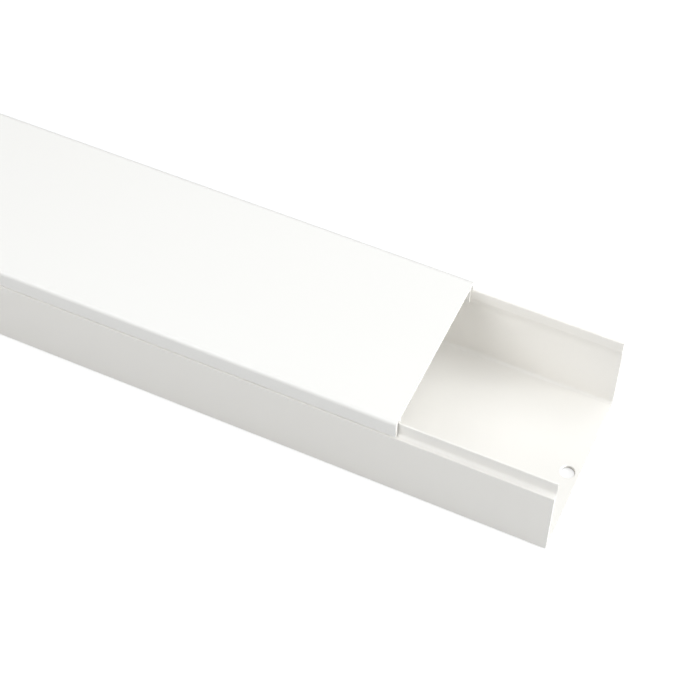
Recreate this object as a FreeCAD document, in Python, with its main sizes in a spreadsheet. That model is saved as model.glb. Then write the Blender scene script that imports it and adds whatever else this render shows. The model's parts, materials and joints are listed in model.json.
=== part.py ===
import FreeCAD, Part
import os
import Sketcher

# Rectangular PVC cable trunking: an extruded U channel and its clip-on lid, both cut to stock length.
# The frame stands on the middle of the channel's underside: X runs along the stock towards the open end,
# Y runs across it and Z points up.

# Driving dimensions in millimetres
SIZES = {
    "stock_length": 2000.0,
    "trunking_width": 100.0,
    "trunking_height": 60.0,
    "wall_thickness": 2.0,
    "floor_thickness": 2.0,
    # Step near the top of each wall, which the lid's flange fills
    "rebate_height": 12.8,
    "rebate_depth": 3.0,
    "lip_thickness": 1.1,
    "lip_top_gap": 1.4,
    # Inside, the lip's face ends above the step, and a long slope leads back from there to the wall
    "lip_foot_rise": 2.6,
    "slope_height": 6.5,
    # Lid
    "lid_thickness": 2.0,
    "lid_set_back": 84.0,
    "flange_thickness": 2.0,
    # Open seam between the flange and the step below it
    "seam_gap": 1.1,
    # Leg inside each lip, whose hook catches under the lip's foot
    "fit_clearance": 0.3,
    "leg_thickness": 1.3,
    "hook_drop": 1.9,
    "hook_reach": 0.6,
    "hook_height": 1.6,
    # Rounded edges
    "lid_edge_radius": 2.8,
    "channel_foot_radius": 0.8,
    "floor_corner_radius": 2.2,
    "rebate_radius": 2.2,
    "flange_foot_radius": 0.8,
    "flange_rim_radius": 0.2,
    "lip_foot_radius": 0.6,
    "slope_blend_radius": 20.0,
    "small_radius": 0.4,
    # Row of round screw holes along the floor, a little nearer the front wall than the back one
    "hole_diameter": 7.5,
    "hole_pitch": 250.0,
    "first_hole_inset": 6.0,
    "hole_row_offset": 3.0,
}

# Places that the two sections share, as formulas on the driving dimensions
SIDE = "Sizes.trunking_width / 2"
TOP = "Sizes.trunking_height"
SHOULDER = "Sizes.trunking_height - Sizes.rebate_height"
LIP_FACE = f"{SIDE} - Sizes.rebate_depth"
LIP_INSIDE = f"{LIP_FACE} - Sizes.lip_thickness"
PANEL_UNDERSIDE = "Sizes.trunking_height - Sizes.lid_thickness"
LIP_TOP = f"{PANEL_UNDERSIDE} - Sizes.lip_top_gap"
LIP_FOOT = f"{SHOULDER} + Sizes.lip_foot_rise"
SLOPE_FOOT = f"{LIP_FOOT} - Sizes.slope_height"
FLANGE_FACE = f"{SIDE} - Sizes.flange_thickness"
FLANGE_FOOT = f"{SHOULDER} + Sizes.seam_gap"
LEG_FACE = f"{LIP_INSIDE} - Sizes.fit_clearance"
LEG_INSIDE = f"{LEG_FACE} - Sizes.leg_thickness"
HOOK_TIP = f"{LIP_FOOT} - Sizes.hook_drop"
# The hook's underside slants at 45 degrees, which leads it past the lip
LEG_FOOT = f"{HOOK_TIP} - Sizes.hook_reach"
FIRST_HOLE = "Sizes.stock_length / 2 - Sizes.first_hole_inset"


def make_sheet(doc):
    """Put the driving dimensions in a spreadsheet, one aliased cell each."""
    sheet = doc.addObject("Spreadsheet::Sheet", "Sizes")
    for row, (alias, value) in enumerate(SIZES.items(), start=1):
        sheet.set(f"A{row}", alias)
        sheet.set(f"B{row}", str(value))
        sheet.setAlias(f"B{row}", alias)
    doc.recompute()


def origin_plane(body, role):
    """Return the body's own origin plane or axis with this role."""
    return next(item for item in body.Origin.OriginFeatures if item.Role == role)


def add_sketch(body, name, role):
    """Add an empty sketch on one of the body's origin planes."""
    sketch = body.newObject("Sketcher::SketchObject", name)
    sketch.AttachmentSupport = [(origin_plane(body, role), "")]
    sketch.MapMode = "FlatFace"
    return sketch


def drive(sketch, constraint, formula):
    """Add a dimension to the sketch and bind it to a formula."""
    index = sketch.addConstraint(constraint)
    sketch.setExpression(f"Constraints[{index}]", formula)


def draw_section(body, name, corners):
    """Draw a closed section, symmetric about Z, from the corners of its right half.

    Each corner is a pair of formulas, for Y and for Z. The loop follows the corners on the right-hand side,
    crosses over, and comes back along their mirror images on the left.
    """
    sketch = add_sketch(body, name, "YZ_Plane")
    right = [FreeCAD.Vector(*(float(body.evalExpression(f)) for f in corner), 0) for corner in corners.values()]
    left = [FreeCAD.Vector(-point.x, point.y, 0) for point in reversed(right)]
    loop = right + left
    for start, end in zip(loop, loop[1:] + loop[:1]):
        line = sketch.addGeometry(Part.LineSegment(start, end))
        if line:
            sketch.addConstraint(Sketcher.Constraint("Coincident", line - 1, 2, line, 1))
    sketch.addConstraint(Sketcher.Constraint("Coincident", line, 2, 0, 1))
    for line, (across, up) in enumerate(corners.values()):
        # each line starts at its corner, measured from the sketch's origin
        point = loop[line]
        drive(sketch, Sketcher.Constraint("DistanceX", -1, 1, line, 1, point.x), across)
        if point.y:
            drive(sketch, Sketcher.Constraint("DistanceY", -1, 1, line, 1, point.y), up)
        else:
            sketch.addConstraint(Sketcher.Constraint("PointOnObject", line, 1, -1))
        twin = len(loop) - 1 - line
        sketch.addConstraint(Sketcher.Constraint("Symmetric", line, 1, twin, 1, -2))
    return sketch


def extrude(body, sketch):
    """Pad a section along the stock, half of its length each way."""
    pad = body.newObject("PartDesign::Pad", "Extrusion")
    pad.Profile = sketch
    pad.SideType = "Symmetric"
    pad.setExpression("Length", "Sizes.stock_length")
    body.Document.recompute()
    return pad


def round_edges(body, name, corners, names, radius):
    """Round the long edges that start at the named corners and at their mirror images."""
    base = body.Tip
    spots = [tuple(float(body.evalExpression(f)) for f in corners[corner]) for corner in names]
    edges = []
    for number, edge in enumerate(base.Shape.Edges, start=1):
        first, last = edge.Vertexes[0].Point, edge.Vertexes[-1].Point
        runs_along = abs(first.y - last.y) + abs(first.z - last.z) < 1e-6
        if runs_along and any(abs(abs(first.y) - y) + abs(first.z - z) < 1e-6 for y, z in spots):
            edges.append(f"Edge{number}")
    fillet = body.newObject("PartDesign::Fillet", name)
    fillet.Base = (base, edges)
    fillet.setExpression("Radius", radius)
    body.Document.recompute()


def punch_holes(body):
    """Punch the row of round screw holes through the channel's floor."""
    sketch = add_sketch(body, "FirstHole", "XY_Plane")
    first = float(body.evalExpression(FIRST_HOLE))
    offset = float(body.evalExpression("Sizes.hole_row_offset"))
    radius = float(body.evalExpression("Sizes.hole_diameter / 2"))
    circle = sketch.addGeometry(Part.Circle(FreeCAD.Vector(first, -offset, 0), FreeCAD.Vector(0, 0, 1), radius))
    drive(sketch, Sketcher.Constraint("DistanceX", -1, 1, circle, 3, first), FIRST_HOLE)
    # measured from the centre up to the origin, so that the row lies on the front wall's side
    drive(sketch, Sketcher.Constraint("DistanceY", circle, 3, -1, 1, offset), "Sizes.hole_row_offset")
    drive(sketch, Sketcher.Constraint("Diameter", circle, 2 * radius), "Sizes.hole_diameter")
    punch = body.newObject("PartDesign::Pocket", "ScrewHole")
    punch.Profile = sketch
    punch.Reversed = True
    punch.setExpression("Length", "Sizes.floor_thickness")
    row = body.newObject("PartDesign::LinearPattern", "HoleRow")
    row.Originals = [punch]
    row.Direction = (sketch, ["H_Axis"])
    row.Reversed = True
    row.Mode = "Spacing"
    row.setExpression("Offset", "Sizes.hole_pitch")
    row.setExpression(
        "Occurrences",
        "floor((Sizes.stock_length - Sizes.first_hole_inset - Sizes.hole_diameter / 2) / Sizes.hole_pitch) + 1",
    )
    body.Tip = row
    body.Document.recompute()


def make_base_channel(doc):
    """U channel: floor, two walls, an inward step near the top of each and a thin lip standing on it."""
    body = doc.addObject("PartDesign::Body", "base_channel")
    body.Label = "base_channel"
    wall_inside = f"{SIDE} - Sizes.wall_thickness"
    corners = {
        "foot": (SIDE, "0"),
        "shoulder_edge": (SIDE, SHOULDER),
        "rebate_corner": (LIP_FACE, SHOULDER),
        "lip_top_outside": (LIP_FACE, LIP_TOP),
        "lip_top_inside": (LIP_INSIDE, LIP_TOP),
        "lip_foot": (LIP_INSIDE, LIP_FOOT),
        "slope_foot": (wall_inside, SLOPE_FOOT),
        "floor_corner": (wall_inside, "Sizes.floor_thickness"),
    }
    extrude(body, draw_section(body, "ChannelSection", corners))
    round_edges(body, "FootRounding", corners, ["foot"], "Sizes.channel_foot_radius")
    round_edges(body, "FloorRounding", corners, ["floor_corner"], "Sizes.floor_corner_radius")
    round_edges(body, "RebateRounding", corners, ["rebate_corner"], "Sizes.rebate_radius")
    round_edges(body, "LipFootRounding", corners, ["lip_foot"], "Sizes.lip_foot_radius")
    round_edges(body, "SlopeBlend", corners, ["slope_foot"], "Sizes.slope_blend_radius")
    small = ["shoulder_edge", "lip_top_outside", "lip_top_inside"]
    round_edges(body, "SmallRounding", corners, small, "Sizes.small_radius")
    punch_holes(body)
    return body


def make_lid(doc):
    """Lid: flat panel, a flange down each side and a leg that hooks under each lip from inside."""
    body = doc.addObject("PartDesign::Body", "lid")
    body.Label = "lid"
    corners = {
        "leg_root_inside": (LEG_INSIDE, PANEL_UNDERSIDE),
        "leg_foot_inside": (LEG_INSIDE, LEG_FOOT),
        "leg_foot_outside": (LEG_FACE, LEG_FOOT),
        "hook_tip": (f"{LEG_FACE} + Sizes.hook_reach", HOOK_TIP),
        "hook_root": (LEG_FACE, f"{HOOK_TIP} + Sizes.hook_height"),
        "leg_root_outside": (LEG_FACE, PANEL_UNDERSIDE),
        "flange_root": (FLANGE_FACE, PANEL_UNDERSIDE),
        "flange_foot_inside": (FLANGE_FACE, FLANGE_FOOT),
        "flange_foot_outside": (SIDE, FLANGE_FOOT),
        "panel_edge": (SIDE, TOP),
    }
    extrude(body, draw_section(body, "LidSection", corners))
    round_edges(body, "PanelEdgeRounding", corners, ["panel_edge"], "Sizes.lid_edge_radius")
    round_edges(body, "FlangeFootRounding", corners, ["flange_foot_inside"], "Sizes.flange_foot_radius")
    round_edges(body, "FlangeRimRounding", corners, ["flange_foot_outside"], "Sizes.flange_rim_radius")
    small = ["leg_foot_inside", "leg_root_inside", "leg_root_outside", "flange_root"]
    round_edges(body, "SmallRounding", corners, small, "Sizes.small_radius")
    body.setExpression("Placement.Base.x", "-Sizes.lid_set_back")
    return body


def check(doc, parts):
    """Stop before anything is written if an object failed or a solid is not sound."""
    doc.recompute()
    failed = [item.Name for item in doc.Objects if {"Invalid", "Error"} & set(item.State)]
    if failed:
        raise RuntimeError(f"failed objects: {failed}")
    for part in parts:
        if part.Shape.isNull() or not part.Shape.isValid() or len(part.Shape.Solids) != 1:
            raise RuntimeError(f"{part.Label} is not one valid solid")


def main():
    """Build both extrusions and write each one's solid."""
    doc = FreeCAD.newDocument("cable_trunking")
    make_sheet(doc)
    parts = [make_base_channel(doc), make_lid(doc)]
    check(doc, parts)
    os.makedirs("parts", exist_ok=True)
    for part in parts:
        part.Shape.exportStep(f"parts/{part.Label}.step")
        box = part.Shape.BoundBox
        print(part.Label, round(part.Shape.Volume, 1), box)


main()
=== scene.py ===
"""Looks of a length of PVC cable trunking whose clip-on lid is slid back from its right-hand end.

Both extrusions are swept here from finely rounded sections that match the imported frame, so that their
long edges, sawn ends and punched holes read as real plastic stock. The sizes are in metres, in the
frame's own axes: X runs along the stock towards the open end, Y across it and Z up.
"""

from __future__ import annotations

import json
import logging
import math
from dataclasses import dataclass
from enum import Enum

import bmesh
import bpy
from mathutils import Matrix, Vector

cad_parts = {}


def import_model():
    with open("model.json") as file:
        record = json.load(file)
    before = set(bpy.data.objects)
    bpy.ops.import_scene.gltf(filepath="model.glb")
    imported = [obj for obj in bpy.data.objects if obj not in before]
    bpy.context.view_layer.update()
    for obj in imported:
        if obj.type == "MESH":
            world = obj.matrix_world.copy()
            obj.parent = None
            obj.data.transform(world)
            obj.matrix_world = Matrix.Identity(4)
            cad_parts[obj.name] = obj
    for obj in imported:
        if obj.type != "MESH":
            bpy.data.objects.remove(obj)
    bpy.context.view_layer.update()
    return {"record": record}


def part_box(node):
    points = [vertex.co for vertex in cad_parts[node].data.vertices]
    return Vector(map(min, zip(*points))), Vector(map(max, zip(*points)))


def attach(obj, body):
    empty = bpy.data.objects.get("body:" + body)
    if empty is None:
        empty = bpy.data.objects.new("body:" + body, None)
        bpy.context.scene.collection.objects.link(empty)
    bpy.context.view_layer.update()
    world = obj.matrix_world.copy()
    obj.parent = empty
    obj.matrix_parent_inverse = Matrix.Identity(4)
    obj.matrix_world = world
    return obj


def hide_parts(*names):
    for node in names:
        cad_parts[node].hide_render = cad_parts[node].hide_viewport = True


LOG = logging.getLogger("cable_trunking")
MM = 0.001
# The photograph's width and height
FRAME_PIXELS = 700
# The average of a noise node's values
NOISE_MEAN = 0.5
# A corner that turns less than this stays a point
LEAST_TURN = math.radians(1)
# Even a small arc has this many straight steps
LEAST_STEPS = 4
# The normal of a sawn end points at least this far along X
END_FACING = 0.5

Point = tuple[float, float]
Cells = tuple[float, float, float]
Colour = tuple[float, float, float, float]


class Body(Enum):
    """The two bodies of the frame, by the names that the record gives them."""

    CHANNEL = "channel"
    COVER = "cover"


class Mark(Enum):
    """Names of the attributes that mark a mesh's faces and edges."""

    SAWN = "sawn"
    SHARP = "sharp_edge"


def named_input(node: bpy.types.Node, place: str | int) -> bpy.types.NodeSocket:
    """Return a node's input by its place, or the one in use that has this name."""
    if isinstance(place, int):
        return node.inputs[place]
    return next(socket for socket in node.inputs if socket.name == place and socket.enabled)


class Socket:
    """A shader socket that can be used in Python expressions."""

    def __init__(self, tree: ShaderTree, link: bpy.types.NodeSocket) -> None:
        """Wrap an output socket of one tree."""
        self.tree = tree
        self.link = link

    def _math(self, operation: str, *values: Socket | float) -> Socket:
        """Add a Math node on these values."""
        return self.tree.math(operation, *values)

    def __add__(self, other: Socket | float) -> Socket:
        """Return self + other."""
        return self._math("ADD", self, other)

    def __radd__(self, other: float) -> Socket:
        """Return other + self."""
        return self._math("ADD", other, self)

    def __sub__(self, other: Socket | float) -> Socket:
        """Return self - other."""
        return self._math("SUBTRACT", self, other)

    def __rsub__(self, other: float) -> Socket:
        """Return other - self."""
        return self._math("SUBTRACT", other, self)

    def __mul__(self, other: Socket | float) -> Socket:
        """Return self * other."""
        return self._math("MULTIPLY", self, other)

    def __rmul__(self, other: float) -> Socket:
        """Return other * self."""
        return self._math("MULTIPLY", other, self)

    def clamped(self) -> Socket:
        """Return the value held between 0 and 1."""
        return self._math("MAXIMUM", self._math("MINIMUM", self, 1.0), 0.0)


class ShaderTree:
    """A material's node tree, built by short calls."""

    def __init__(self, name: str) -> None:
        """Make an empty node material.

        Args:
            name: The material's name.
        """
        self.material = bpy.data.materials.new(name)
        self.material.use_nodes = True
        self.nodes = self.material.node_tree.nodes
        self.links = self.material.node_tree.links
        self.nodes.clear()

    def node(
        self,
        kind: str,
        settings: dict[str, object] | None = None,
        values: dict[str | int, object] | None = None,
    ) -> bpy.types.Node:
        """Add a node.

        Args:
            kind: The node's type.
            settings: The node's own settings, which are set first.
            values: A number, a tuple or a Socket for each input, by its name or place.

        Returns:
            The new node.
        """
        made = self.nodes.new(kind)
        for setting, value in (settings or {}).items():
            setattr(made, setting, value)
        for place, value in (values or {}).items():
            if isinstance(value, Socket):
                self.links.new(value.link, named_input(made, place))
            else:
                named_input(made, place).default_value = value
        return made

    def out(self, node: bpy.types.Node, place: str | int = 0) -> Socket:
        """Wrap one output of a node."""
        return Socket(self, node.outputs[place])

    def math(self, operation: str, *values: Socket | float) -> Socket:
        """Add a Math node on these values."""
        return self.out(self.node("ShaderNodeMath", {"operation": operation}, dict(enumerate(values))))

    def noise(self, where: Socket, cells: Cells, detail: float = 2.0) -> Socket:
        """Add noise whose cells have a size of their own along each axis.

        Args:
            where: The coordinates that the noise is read at.
            cells: How many cells there are in a metre along X, Y and Z.
            detail: How many finer layers are added.

        Returns:
            The noise's value, from 0 to 1.
        """
        mapping = self.node("ShaderNodeMapping", {}, {"Vector": where, "Scale": cells})
        values = {"Vector": self.out(mapping), "Scale": 1.0, "Detail": detail}
        return self.out(self.node("ShaderNodeTexNoise", {}, values), "Fac")

    def blend(self, share: Socket, first: Socket | Colour, second: Colour) -> Socket:
        """Mix two colours.

        Args:
            share: How much of the second colour there is, from 0 to 1.
            first: The colour where the share is 0.
            second: The colour where the share is 1.

        Returns:
            The mixed colour.
        """
        mix = self.node("ShaderNodeMix", {"data_type": "RGBA"}, {"Factor": share, "A": first, "B": second})
        return Socket(self, next(socket for socket in mix.outputs if socket.enabled))

    def finish(self, shader: Socket) -> bpy.types.Material:
        """Send a shader to the output and return the material."""
        self.node("ShaderNodeOutputMaterial", {}, {"Surface": shader})
        return self.material


@dataclass(frozen=True)
class PlasticFinish:
    """White uPVC as it leaves the die, with sawn ends.

    The skin is satin, with faint draw lines along the stock and a slightly yellower cast in broad
    patches. A sawn face is rougher, with fine marks across it, and darker: partly the duller cut
    plastic, partly painted shade on the ends, which catch less light than the skin. The cells of each
    pattern are counted in a metre along X, Y and Z.
    """

    name: str
    slot: str
    colour: Colour
    shade: Colour
    # Darker than the skin: partly the duller cut plastic, partly painted shade on the sawn ends
    sawn_colour_and_painted_shade: Colour = (0.700, 0.672, 0.635, 1.0)
    patch_share: float = 0.8
    roughness: float = 0.36
    roughness_spread: float = 0.08
    sawn_roughness: float = 0.62
    refraction: float = 1.53
    line_depth: float = 0.02 * MM
    line_detail: float = 3.0
    saw_depth: float = 0.05 * MM
    line_cells: Cells = (1.5, 900.0, 900.0)
    patch_cells: Cells = (5.0, 14.0, 14.0)
    saw_cells: Cells = (60.0, 120.0, 2600.0)

    def material(self) -> bpy.types.Material:
        """Build the finish as a node material.

        Returns:
            The material.
        """
        tree = ShaderTree(self.name)
        where = tree.out(tree.node("ShaderNodeTexCoord"), "Object")
        mark = {"attribute_name": Mark.SAWN.value, "attribute_type": "GEOMETRY"}
        sawn = tree.out(tree.node("ShaderNodeAttribute", mark), "Fac")
        patches = tree.noise(where, self.patch_cells)
        lines = tree.noise(where, self.line_cells, self.line_detail)
        saw_marks = tree.noise(where, self.saw_cells)
        tint = (patches * self.patch_share + lines * (1 - self.patch_share)).clamped()
        # Sawn ends take the darker sawn colour, which is partly the cut plastic's own dullness and partly
        # painted shade
        colour = tree.blend(sawn, tree.blend(tint, self.colour, self.shade), self.sawn_colour_and_painted_shade)
        skin = self.roughness + self.roughness_spread * (lines - NOISE_MEAN)
        roughness = skin + sawn * (self.sawn_roughness - self.roughness)
        height = (1.0 - sawn) * lines * self.line_depth + sawn * saw_marks * self.saw_depth
        bump = tree.node("ShaderNodeBump", {}, {"Height": height, "Distance": 1.0, "Strength": 1.0})
        shader = tree.node(
            "ShaderNodeBsdfPrincipled",
            {},
            {"Base Color": colour, "Roughness": roughness, "Normal": tree.out(bump), "IOR": self.refraction},
        )
        return tree.finish(tree.out(shader))


@dataclass(frozen=True)
class Corner:
    """A corner of a section: its place across and up, and the radius that rounds it."""

    across: float
    up: float
    radius: float


def rounded(previous: Corner, corner: Corner, following: Corner, steps: int) -> list[Point]:
    """Replace a corner by points along its arc.

    Args:
        previous: The corner before it.
        corner: The corner that is rounded.
        following: The corner after it.
        steps: How many straight steps a quarter turn has.

    Returns:
        The arc's points in order, or the corner itself if it has no radius or hardly turns.
    """
    spot = Vector((corner.across, corner.up))
    to_previous = (Vector((previous.across, previous.up)) - spot).normalized()
    to_following = (Vector((following.across, following.up)) - spot).normalized()
    half = to_previous.angle(to_following) / 2
    turn = math.pi - 2 * half
    if corner.radius <= 0 or turn < LEAST_TURN:
        return [(corner.across, corner.up)]
    centre = spot + (to_previous + to_following).normalized() * corner.radius / math.sin(half)
    start = spot + to_previous * corner.radius / math.tan(half) - centre
    side = 1 if to_following.cross(to_previous) > 0 else -1
    count = max(LEAST_STEPS, round(steps * turn / (math.pi / 2)))
    points = []
    for step in range(count + 1):
        angle = side * turn * step / count
        turned = Matrix.Rotation(angle, 2) @ start
        points.append(tuple(centre + turned))
    return points


class NodeTree:
    """A geometry node group with named inputs, run on one object at a time.

    The mesh that it makes gets its sharp edges marked and its material set last.
    """

    inputs: dict[str, str] = {}
    closing_inputs: dict[str, str] = {"Sharp Angle": "NodeSocketFloat", "Material": "NodeSocketMaterial"}

    def __init__(self, name: str) -> None:
        """Make the group, its inputs and its nodes.

        Args:
            name: The node group's name.
        """
        self.group = bpy.data.node_groups.new(name, "GeometryNodeTree")
        interface = self.group.interface
        interface.new_socket("Geometry", in_out="INPUT", socket_type="NodeSocketGeometry")
        for label, kind in (self.inputs | self.closing_inputs).items():
            interface.new_socket(label, in_out="INPUT", socket_type=kind)
        interface.new_socket("Result", in_out="OUTPUT", socket_type="NodeSocketGeometry")
        self.given = self.add("NodeGroupInput").outputs
        marked = self.sharp_marked(self.wire())
        realized = self.add("GeometryNodeRealizeInstances", {}, {"Geometry": marked})
        dressed = self.add(
            "GeometryNodeSetMaterial",
            {},
            {"Geometry": realized.outputs[0], "Material": self.given["Material"]},
        )
        self.add("NodeGroupOutput", {}, {0: dressed.outputs[0]})

    def wire(self) -> bpy.types.NodeSocket:
        """Add the nodes that make the mesh, and return the socket that holds it."""
        raise NotImplementedError

    def sharp_marked(self, geometry: bpy.types.NodeSocket) -> bpy.types.NodeSocket:
        """Mark the edges that turn by more than the Sharp Angle input.

        Args:
            geometry: The mesh whose edges are marked.

        Returns:
            The marked mesh.
        """
        turn = self.add("GeometryNodeInputMeshEdgeAngle")
        is_sharp = self.add(
            "FunctionNodeCompare",
            {"data_type": "FLOAT", "operation": "GREATER_THAN"},
            {"A": turn.outputs["Unsigned Angle"], "B": self.given["Sharp Angle"]},
        )
        marked = self.add(
            "GeometryNodeStoreNamedAttribute",
            {"data_type": "BOOLEAN", "domain": "EDGE"},
            {"Geometry": geometry, "Name": Mark.SHARP.value, "Value": is_sharp.outputs[0]},
        )
        return marked.outputs[0]

    def add(
        self,
        kind: str,
        settings: dict[str, object] | None = None,
        values: dict[str | int, object] | None = None,
    ) -> bpy.types.Node:
        """Add a node.

        Args:
            kind: The node's type.
            settings: The node's own settings, which are set first.
            values: A number, a tuple or an output socket for each input, by its name or place.

        Returns:
            The new node.
        """
        made = self.group.nodes.new(kind)
        for setting, value in (settings or {}).items():
            setattr(made, setting, value)
        for place, value in (values or {}).items():
            if isinstance(value, bpy.types.NodeSocket):
                self.group.links.new(value, named_input(made, place))
            else:
                named_input(made, place).default_value = value
        return made

    def run(self, source: bpy.types.Object, values: dict[str, object]) -> bpy.types.Mesh:
        """Run the tree on an object.

        Args:
            source: The object whose geometry goes in.
            values: The value of each named input.

        Returns:
            The result as a plain mesh.
        """
        modifier = source.modifiers.new("nodes", "NODES")
        modifier.node_group = self.group
        for item in self.group.interface.items_tree:
            if item.in_out == "INPUT" and item.name in values:
                modifier[item.identifier] = values[item.name]
        mesh = plain_mesh(source)
        source.modifiers.remove(modifier)
        return mesh


class SweepTree(NodeTree):
    """Sweeps a closed section along X and marks the faces of its sawn ends."""

    inputs = {"Start": "NodeSocketFloat", "End": "NodeSocketFloat"}

    def wire(self) -> bpy.types.NodeSocket:
        """Add the nodes that make the mesh, and return the socket that holds it."""
        start = self.add("ShaderNodeCombineXYZ", {}, {"X": self.given["Start"]})
        end = self.add("ShaderNodeCombineXYZ", {}, {"X": self.given["End"]})
        path = self.add(
            "GeometryNodeCurvePrimitiveLine",
            {},
            {"Start": start.outputs[0], "End": end.outputs[0]},
        )
        # A section swept along +X comes out turned half round, so it is turned back first
        profile = self.add(
            "GeometryNodeTransform",
            {},
            {"Geometry": self.given["Geometry"], "Rotation": (0.0, 0.0, math.pi)},
        )
        swept = self.add(
            "GeometryNodeCurveToMesh",
            {},
            {"Curve": path.outputs[0], "Profile Curve": profile.outputs[0], "Fill Caps": True},
        )
        normal = self.add("GeometryNodeInputNormal")
        axis = self.add("ShaderNodeSeparateXYZ", {}, {"Vector": normal.outputs[0]})
        facing = self.add("ShaderNodeMath", {"operation": "ABSOLUTE"}, {0: axis.outputs["X"]})
        is_end = self.add(
            "ShaderNodeMath",
            {"operation": "GREATER_THAN"},
            {0: facing.outputs[0], 1: END_FACING},
        )
        marked = self.add(
            "GeometryNodeStoreNamedAttribute",
            {"data_type": "FLOAT", "domain": "FACE"},
            {"Geometry": swept.outputs[0], "Name": Mark.SAWN.value, "Value": is_end.outputs[0]},
        )
        return marked.outputs[0]


class PunchTree(NodeTree):
    """Punches a straight row of holes, each in the shape of one tool."""

    inputs = {
        "Tool": "NodeSocketObject",
        "Count": "NodeSocketInt",
        "First": "NodeSocketFloat",
        "Across": "NodeSocketFloat",
        "Pitch": "NodeSocketFloat",
    }

    def wire(self) -> bpy.types.NodeSocket:
        """Add the nodes that make the mesh, and return the socket that holds it."""
        first = self.add("ShaderNodeCombineXYZ", {}, {"X": self.given["First"], "Y": self.given["Across"]})
        back = self.add("ShaderNodeMath", {"operation": "MULTIPLY"}, {0: self.given["Pitch"], 1: -1.0})
        offset = self.add("ShaderNodeCombineXYZ", {}, {"X": back.outputs[0]})
        row = self.add(
            "GeometryNodeMeshLine",
            {},
            {"Count": self.given["Count"], "Start Location": first.outputs[0], "Offset": offset.outputs[0]},
        )
        tool = self.add("GeometryNodeObjectInfo", {}, {"Object": self.given["Tool"]})
        tools = self.add(
            "GeometryNodeInstanceOnPoints",
            {},
            {"Points": row.outputs[0], "Instance": tool.outputs["Geometry"]},
        )
        solid = self.add("GeometryNodeRealizeInstances", {}, {"Geometry": tools.outputs[0]})
        punched = self.add(
            "GeometryNodeMeshBoolean",
            {"operation": "DIFFERENCE", "solver": "EXACT"},
            {0: self.given["Geometry"], 1: solid.outputs[0]},
        )
        return punched.outputs[0]


def plain_mesh(source: bpy.types.Object) -> bpy.types.Mesh:
    """Return the object's evaluated shape as a mesh of its own."""
    graph = bpy.context.evaluated_depsgraph_get()
    return bpy.data.meshes.new_from_object(
        source.evaluated_get(graph), preserve_all_data_layers=True, depsgraph=graph
    )


def put_in_scene(name: str, data: bpy.types.ID) -> bpy.types.Object:
    """Put new data in the scene as an object of this name."""
    made = bpy.data.objects.new(name, data)
    bpy.context.scene.collection.objects.link(made)
    return made


def bearing(azimuth: float, elevation: float) -> Vector:
    """Return the direction that is this many degrees round from +X towards +Y, and this many up."""
    turn, rise = math.radians(azimuth), math.radians(elevation)
    return Vector((math.cos(turn) * math.cos(rise), math.sin(turn) * math.cos(rise), math.sin(rise)))


@dataclass
class Extrusion:
    """A straight length of plastic stock swept from a section that is symmetric about Z.

    The frame gives its ends and its overall width and height.
    """

    node: str
    body: Body
    finish: PlasticFinish
    record: dict
    arc_steps: int = 10
    sharp_angle: float = math.radians(40)

    def corners(self) -> list[Corner]:
        """Return the corners of the section's right half, in order."""
        raise NotImplementedError

    def outline(self) -> list[Point]:
        """Return the whole section's outline, its right half and then its mirror image."""
        half = self.corners()
        mirrored = [Corner(-corner.across, corner.up, corner.radius) for corner in reversed(half)]
        loop = half + mirrored
        points: list[Point] = []
        for index, corner in enumerate(loop):
            points += rounded(loop[index - 1], corner, loop[(index + 1) % len(loop)], self.arc_steps)
        return points

    def section_curve(self) -> bpy.types.Object:
        """Make the section as a closed poly curve in the XY plane."""
        points = self.outline()
        data = bpy.data.curves.new(f"{self.node}_section", "CURVE")
        data.dimensions = "3D"
        spline = data.splines.new("POLY")
        spline.points.add(len(points) - 1)
        for point, (across, up) in zip(spline.points, points):
            point.co = (across, up, 0.0, 1.0)
        spline.use_cyclic_u = True
        return put_in_scene(data.name, data)

    def sweep(self, material: bpy.types.Material) -> bpy.types.Object:
        """Sweep the section along the stock.

        Args:
            material: The finish that the stock gets.

        Returns:
            The swept piece.
        """
        low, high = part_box(self.node)
        curve = self.section_curve()
        sizes = {"Start": low.x, "End": high.x, "Sharp Angle": self.sharp_angle, "Material": material}
        mesh = SweepTree(f"{self.node}_sweep").run(curve, sizes)
        bpy.data.objects.remove(curve)
        return put_in_scene(f"{self.node}_shell", mesh)

    def work(self, piece: bpy.types.Object, material: bpy.types.Material) -> None:
        """Do what is done to the stock once it is extruded: nothing, unless a kind of stock says so."""

    def build(self) -> bpy.types.Object:
        """Build the piece, dress it and put it on its body.

        Returns:
            The finished piece, which stands for the frame's node.
        """
        material = self.finish.material()
        piece = self.sweep(material)
        self.work(piece, material)
        weighting = piece.modifiers.new("flat faces", "WEIGHTED_NORMAL")
        weighting.keep_sharp = True
        mesh = plain_mesh(piece)
        piece.modifiers.remove(weighting)
        piece.data = mesh
        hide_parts(self.node)
        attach(piece, self.body.value)
        LOG.info("%s: %d faces on body %s", piece.name, len(mesh.polygons), self.body.value)
        return piece


@dataclass(frozen=True)
class ClipFit:
    """The sizes that the lip and the lid's flange and leg share."""

    stock_height: float = 60.0 * MM
    rebate_height: float = 12.8 * MM
    rebate_depth: float = 3.0 * MM
    lip: float = 1.1 * MM
    lip_foot_rise: float = 2.6 * MM
    clearance: float = 0.3 * MM

    @property
    def shoulder(self) -> float:
        """Return the height of the step that the lip stands on."""
        return self.stock_height - self.rebate_height

    @property
    def lip_foot(self) -> float:
        """Return the height at which the lip's inner face ends and its slope begins."""
        return self.shoulder + self.lip_foot_rise

    def lip_inside(self, side: float) -> float:
        """Return how far out the lip's inner face is, in a wall whose outside is at this place."""
        return side - self.rebate_depth - self.lip


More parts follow.
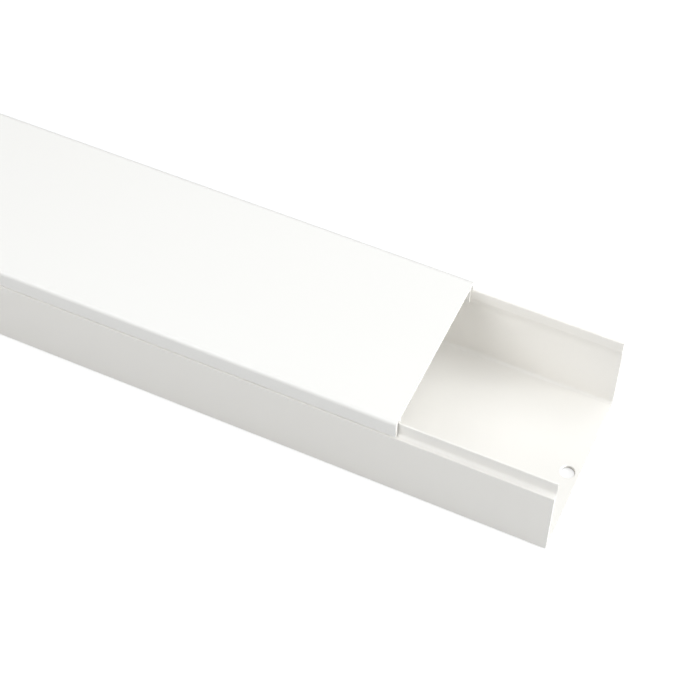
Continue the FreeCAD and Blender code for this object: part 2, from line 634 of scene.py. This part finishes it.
@dataclass
class Channel(Extrusion):
    """The U-shaped base: floor, two walls, and a thin lip on an inward step of each wall."""

    fit: ClipFit = ClipFit()
    wall: float = 2.0 * MM
    slope_height: float = 6.5 * MM
    foot_radius: float = 0.8 * MM
    floor_radius: float = 2.2 * MM
    shoulder_radius: float = 0.5 * MM
    rebate_radius: float = 2.2 * MM
    lip_foot_radius: float = 0.6 * MM
    slope_blend_radius: float = 20.0 * MM
    edge_radius: float = 0.4 * MM

    def corners(self) -> list[Corner]:
        """Return the corners of the section's right half, from the foot to the inner floor corner."""
        low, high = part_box(self.node)
        side = high.y
        inside = side - self.wall
        lip_face = side - self.fit.rebate_depth
        lip_inside = self.fit.lip_inside(side)
        return [
            Corner(side, low.z, self.foot_radius),
            Corner(side, self.fit.shoulder, self.shoulder_radius),
            Corner(lip_face, self.fit.shoulder, self.rebate_radius),
            Corner(lip_face, high.z, self.edge_radius),
            Corner(lip_inside, high.z, self.edge_radius),
            Corner(lip_inside, self.fit.lip_foot, self.lip_foot_radius),
            Corner(inside, self.fit.lip_foot - self.slope_height, self.slope_blend_radius),
            Corner(inside, low.z + self.wall, self.floor_radius),
        ]

    def work(self, piece: bpy.types.Object, material: bpy.types.Material) -> None:
        """Punch the row of screw holes along the floor.

        Args:
            piece: The swept channel.
            material: Its finish.
        """
        row = HoleRow.from_record(self.record)
        tool = row.tool(self.wall)
        sizes = {
            "Tool": tool,
            "Count": row.count,
            "First": row.first,
            "Across": row.across,
            "Pitch": row.pitch,
            "Sharp Angle": self.sharp_angle,
            "Material": material,
        }
        piece.data = PunchTree("hole_row").run(piece, sizes)
        bpy.data.objects.remove(tool)


@dataclass(frozen=True)
class HoleRow:
    """The row of punched screw holes: its start, its pitch and the shape that the punch leaves."""

    first: float
    across: float
    pitch: float
    count: int
    radius: float
    draw_in: float = 0.5 * MM
    reach: float = 1.0 * MM
    sides: int = 48
    rim_steps: int = 4

    @classmethod
    def from_record(cls, record: dict) -> HoleRow:
        """Read the row from the record's bolt patterns.

        Args:
            record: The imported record.

        Returns:
            The row of all their holes.
        """
        patterns = [mount for mount in record["mounts"] if mount["kind"] == "bolt_pattern"]
        sizes = patterns[0]["dims"]
        pitch = sizes["spacing_x_mm"] * MM
        first = max(mount["pos_m"][0] for mount in patterns) + pitch / 2
        across = patterns[0]["pos_m"][1]
        count = sum(mount["dims"]["count"] for mount in patterns)
        return cls(first, across, pitch, count, sizes["hole_r_mm"] * MM)

    def profile(self, floor: float) -> list[Point]:
        """Work out the punch's radius and height at each step, so that it draws the hole's upper rim in.

        Args:
            floor: The thickness that it goes through.

        Returns:
            Its radius and height, from below the floor to above it.
        """
        flare = self.radius + self.draw_in
        points = [(self.radius, -self.reach)]
        for step in range(self.rim_steps + 1):
            angle = math.pi / 2 * step / self.rim_steps
            out = flare - self.draw_in * math.cos(angle)
            up = floor - self.draw_in * (1 - math.sin(angle))
            points.append((out, up))
        points.append((flare, floor + self.reach))
        return points

    def tool(self, floor: float) -> bpy.types.Object:
        """Turn the punch as a closed shape at the origin.

        Args:
            floor: The thickness that it goes through.

        Returns:
            The punch.
        """
        shape = bmesh.new()
        turns = [2 * math.pi * side / self.sides for side in range(self.sides)]
        rings = []
        for radius, height in self.profile(floor):
            spots = [(radius * math.cos(turn), radius * math.sin(turn), height) for turn in turns]
            rings.append([shape.verts.new(spot) for spot in spots])
        for lower, upper in zip(rings, rings[1:]):
            for side in range(self.sides):
                after = (side + 1) % self.sides
                shape.faces.new((lower[side], lower[after], upper[after], upper[side]))
        shape.faces.new(reversed(rings[0]))
        shape.faces.new(rings[-1])
        for face in shape.faces:
            face.smooth = True
        mesh = bpy.data.meshes.new("punch")
        shape.to_mesh(mesh)
        shape.free()
        return put_in_scene("punch", mesh)


@dataclass
class Lid(Extrusion):
    """The cover: a flat panel, a flange down each side and a leg that hooks under each lip from inside."""

    fit: ClipFit = ClipFit()
    panel: float = 2.0 * MM
    flange: float = 2.0 * MM
    seam_gap: float = 1.1 * MM
    leg: float = 1.3 * MM
    hook_drop: float = 1.9 * MM
    hook_reach: float = 0.6 * MM
    hook_height: float = 1.6 * MM
    panel_radius: float = 2.8 * MM
    flange_foot_radius: float = 0.8 * MM
    flange_rim_radius: float = 0.2 * MM
    edge_radius: float = 0.4 * MM
    crisp_radius: float = 0.1 * MM

    def corners(self) -> list[Corner]:
        """Return the corners of the section's right half, from the leg's root round to the panel's edge."""
        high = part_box(self.node)[1]
        side = high.y
        underside = high.z - self.panel
        flange_face = side - self.flange
        flange_foot = self.fit.shoulder + self.seam_gap
        leg_face = self.fit.lip_inside(side) - self.fit.clearance
        leg_inside = leg_face - self.leg
        hook_tip = self.fit.lip_foot - self.hook_drop
        leg_foot = hook_tip - self.hook_reach
        return [
            Corner(leg_inside, underside, self.edge_radius),
            Corner(leg_inside, leg_foot, self.edge_radius),
            Corner(leg_face, leg_foot, self.crisp_radius),
            Corner(leg_face + self.hook_reach, hook_tip, self.crisp_radius),
            Corner(leg_face, hook_tip + self.hook_height, self.crisp_radius),
            Corner(leg_face, underside, self.edge_radius),
            Corner(flange_face, underside, self.edge_radius),
            Corner(flange_face, flange_foot, self.flange_foot_radius),
            Corner(side, flange_foot, self.flange_rim_radius),
            Corner(side, high.z, self.panel_radius),
        ]


@dataclass(frozen=True)
class Camera:
    """The photograph's camera, solved from the straight edges of the trunking.

    It stands at the azimuth and elevation, in degrees, as seen from what it looks at. The sensor is in
    millimetres, and the centre is the pixel that the lens points straight at.
    """

    eye: tuple[float, float, float] = (1.0943, -0.4872, 0.7544)
    azimuth: float = -64.85
    elevation: float = 53.96
    roll: float = -0.10
    focal_pixels: float = 1716.0
    centre_pixel: tuple[float, float] = (346.0, 368.6)
    sensor: float = 36.0

    def build(self) -> None:
        """Make the camera and make it the scene's own."""
        data = bpy.data.cameras.new("camera")
        data.sensor_width = self.sensor
        data.lens = self.focal_pixels / FRAME_PIXELS * self.sensor
        data.shift_x = (FRAME_PIXELS / 2 - self.centre_pixel[0]) / FRAME_PIXELS
        data.shift_y = (self.centre_pixel[1] - FRAME_PIXELS / 2) / FRAME_PIXELS
        camera = put_in_scene("camera", data)
        back = bearing(self.azimuth, self.elevation)
        aim = (-back).to_track_quat("-Z", "Y").to_matrix().to_4x4()
        roll = Matrix.Rotation(math.radians(self.roll), 4, "Z")
        camera.matrix_world = Matrix.Translation(self.eye) @ aim @ roll
        bpy.context.scene.camera = camera


@dataclass(frozen=True)
class Lamp:
    """A square soft lamp, hung at an azimuth and elevation in degrees as seen from what it lights.

    Its power is in watts, and its size and distance are in metres.
    """

    name: str
    azimuth: float
    elevation: float
    power: float
    size: float = 1.2
    distance: float = 2.2
    colour: tuple[float, float, float] = (0.975, 0.992, 1.0)

    def build(self, aim: Vector) -> None:
        """Hang the lamp and point it at the aim.

        Args:
            aim: The point that it lights.
        """
        towards = bearing(self.azimuth, self.elevation)
        data = bpy.data.lights.new(self.name, "AREA")
        data.size = self.size
        data.energy = self.power
        data.color = self.colour
        lamp = put_in_scene(self.name, data)
        lamp.location = aim + towards * self.distance
        lamp.rotation_euler = (-towards).to_track_quat("-Z", "Y").to_euler()


@dataclass
class Studio:
    """A floor and a surround that look white, and five soft lamps that shade the object as photographed."""

    floor_size: float = 12.0
    floor_drop: float = 0.5 * MM
    floor_colour: Colour = (0.500, 0.500, 0.500, 1.0)
    grain_colour: Colour = (0.495, 0.495, 0.4925, 1.0)
    grain_cells: Cells = (40.0, 40.0, 40.0)
    floor_glow: float = 0.64
    world_strength: float = 0.27
    aim: tuple[float, float, float] = (0.75, 0.0, 0.03)
    lamps: tuple[Lamp, ...] = (
        Lamp("open_end_lamp", 0.0, 15.0, 58.0, colour=(0.945, 0.982, 1.0)),
        Lamp("front_lamp", 250.0, 35.0, 17.0),
        Lamp("covered_end_lamp", 225.0, 15.0, 3.5),
        Lamp("back_right_lamp", 45.0, 60.0, 13.0),
        Lamp("back_left_lamp", 135.0, 60.0, 4.5),
    )

    def build(self) -> None:
        """Make the floor, the surround and the lamps."""
        self.make_world()
        self.make_floor()
        for lamp in self.lamps:
            lamp.build(Vector(self.aim))

    def make_world(self) -> None:
        """Make the surround: white to the camera and in reflections, softer as light."""
        world = bpy.data.worlds.new("surround")
        world.use_nodes = True
        nodes, links = world.node_tree.nodes, world.node_tree.links
        nodes.clear()
        path = nodes.new("ShaderNodeLightPath")
        direct = nodes.new("ShaderNodeMath")
        direct.operation = "ADD"
        shown = nodes.new("ShaderNodeMath")
        shown.operation = "ADD"
        shown.use_clamp = True
        strength = nodes.new("ShaderNodeMapRange")
        strength.inputs["To Min"].default_value = self.world_strength
        strength.inputs["To Max"].default_value = 1.0
        background = nodes.new("ShaderNodeBackground")
        background.inputs["Color"].default_value = (1.0, 1.0, 1.0, 1.0)
        output = nodes.new("ShaderNodeOutputWorld")
        links.new(path.outputs["Is Camera Ray"], direct.inputs[0])
        links.new(path.outputs["Is Glossy Ray"], direct.inputs[1])
        links.new(direct.outputs[0], shown.inputs[0])
        links.new(path.outputs["Is Transmission Ray"], shown.inputs[1])
        links.new(shown.outputs[0], strength.inputs["Value"])
        links.new(strength.outputs["Result"], background.inputs["Strength"])
        links.new(background.outputs[0], output.inputs["Surface"])
        bpy.context.scene.world = world

    def make_floor(self) -> None:
        """Make the floor, which looks white to the camera but still takes the object's shadow."""
        mesh = bpy.data.meshes.new("floor")
        shape = bmesh.new()
        bmesh.ops.create_grid(shape, x_segments=1, y_segments=1, size=self.floor_size / 2)
        shape.to_mesh(mesh)
        shape.free()
        floor = put_in_scene("floor", mesh)
        floor.location.z = -self.floor_drop
        tree = ShaderTree("floor_paper")
        where = tree.out(tree.node("ShaderNodeTexCoord"), "Object")
        grain = tree.noise(where, self.grain_cells)
        colour = tree.blend(grain, self.floor_colour, self.grain_colour)
        paper = tree.node("ShaderNodeBsdfDiffuse", {}, {"Color": colour})
        seen = tree.out(tree.node("ShaderNodeLightPath"), "Is Camera Ray")
        glow = tree.node("ShaderNodeEmission", {}, {"Strength": seen * self.floor_glow})
        both = tree.node("ShaderNodeAddShader", {}, {0: tree.out(paper), 1: tree.out(glow)})
        floor.data.materials.append(tree.finish(tree.out(both)))


@dataclass
class Trunking:
    """The whole object: the channel and the lid."""

    record: dict
    channel_finish: PlasticFinish = PlasticFinish(
        name="channel_upvc",
        slot="channel_plastic",
        colour=(0.928, 0.905, 0.868, 1.0),
        shade=(0.915, 0.889, 0.846, 1.0),
    )
    lid_finish: PlasticFinish = PlasticFinish(
        name="lid_upvc",
        slot="lid_plastic",
        colour=(0.922, 0.908, 0.884, 1.0),
        shade=(0.908, 0.892, 0.862, 1.0),
    )

    def build(self) -> list[bpy.types.Object]:
        """Build both extrusions.

        Returns:
            The finished pieces.
        """
        channel = Channel("base_channel", Body.CHANNEL, self.channel_finish, self.record)
        lid = Lid("lid", Body.COVER, self.lid_finish, self.record)
        return [channel.build(), lid.build()]


def main() -> None:
    """Build the trunking, its studio and its camera."""
    logging.basicConfig(level=logging.INFO, format="%(name)s: %(message)s")
    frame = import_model()
    pieces = Trunking(frame["record"]).build()
    Studio().build()
    Camera().build()
    bpy.context.scene.view_settings.view_transform = "Standard"
    LOG.info("%d pieces built", len(pieces))


if __name__ == "__main__":
    main()
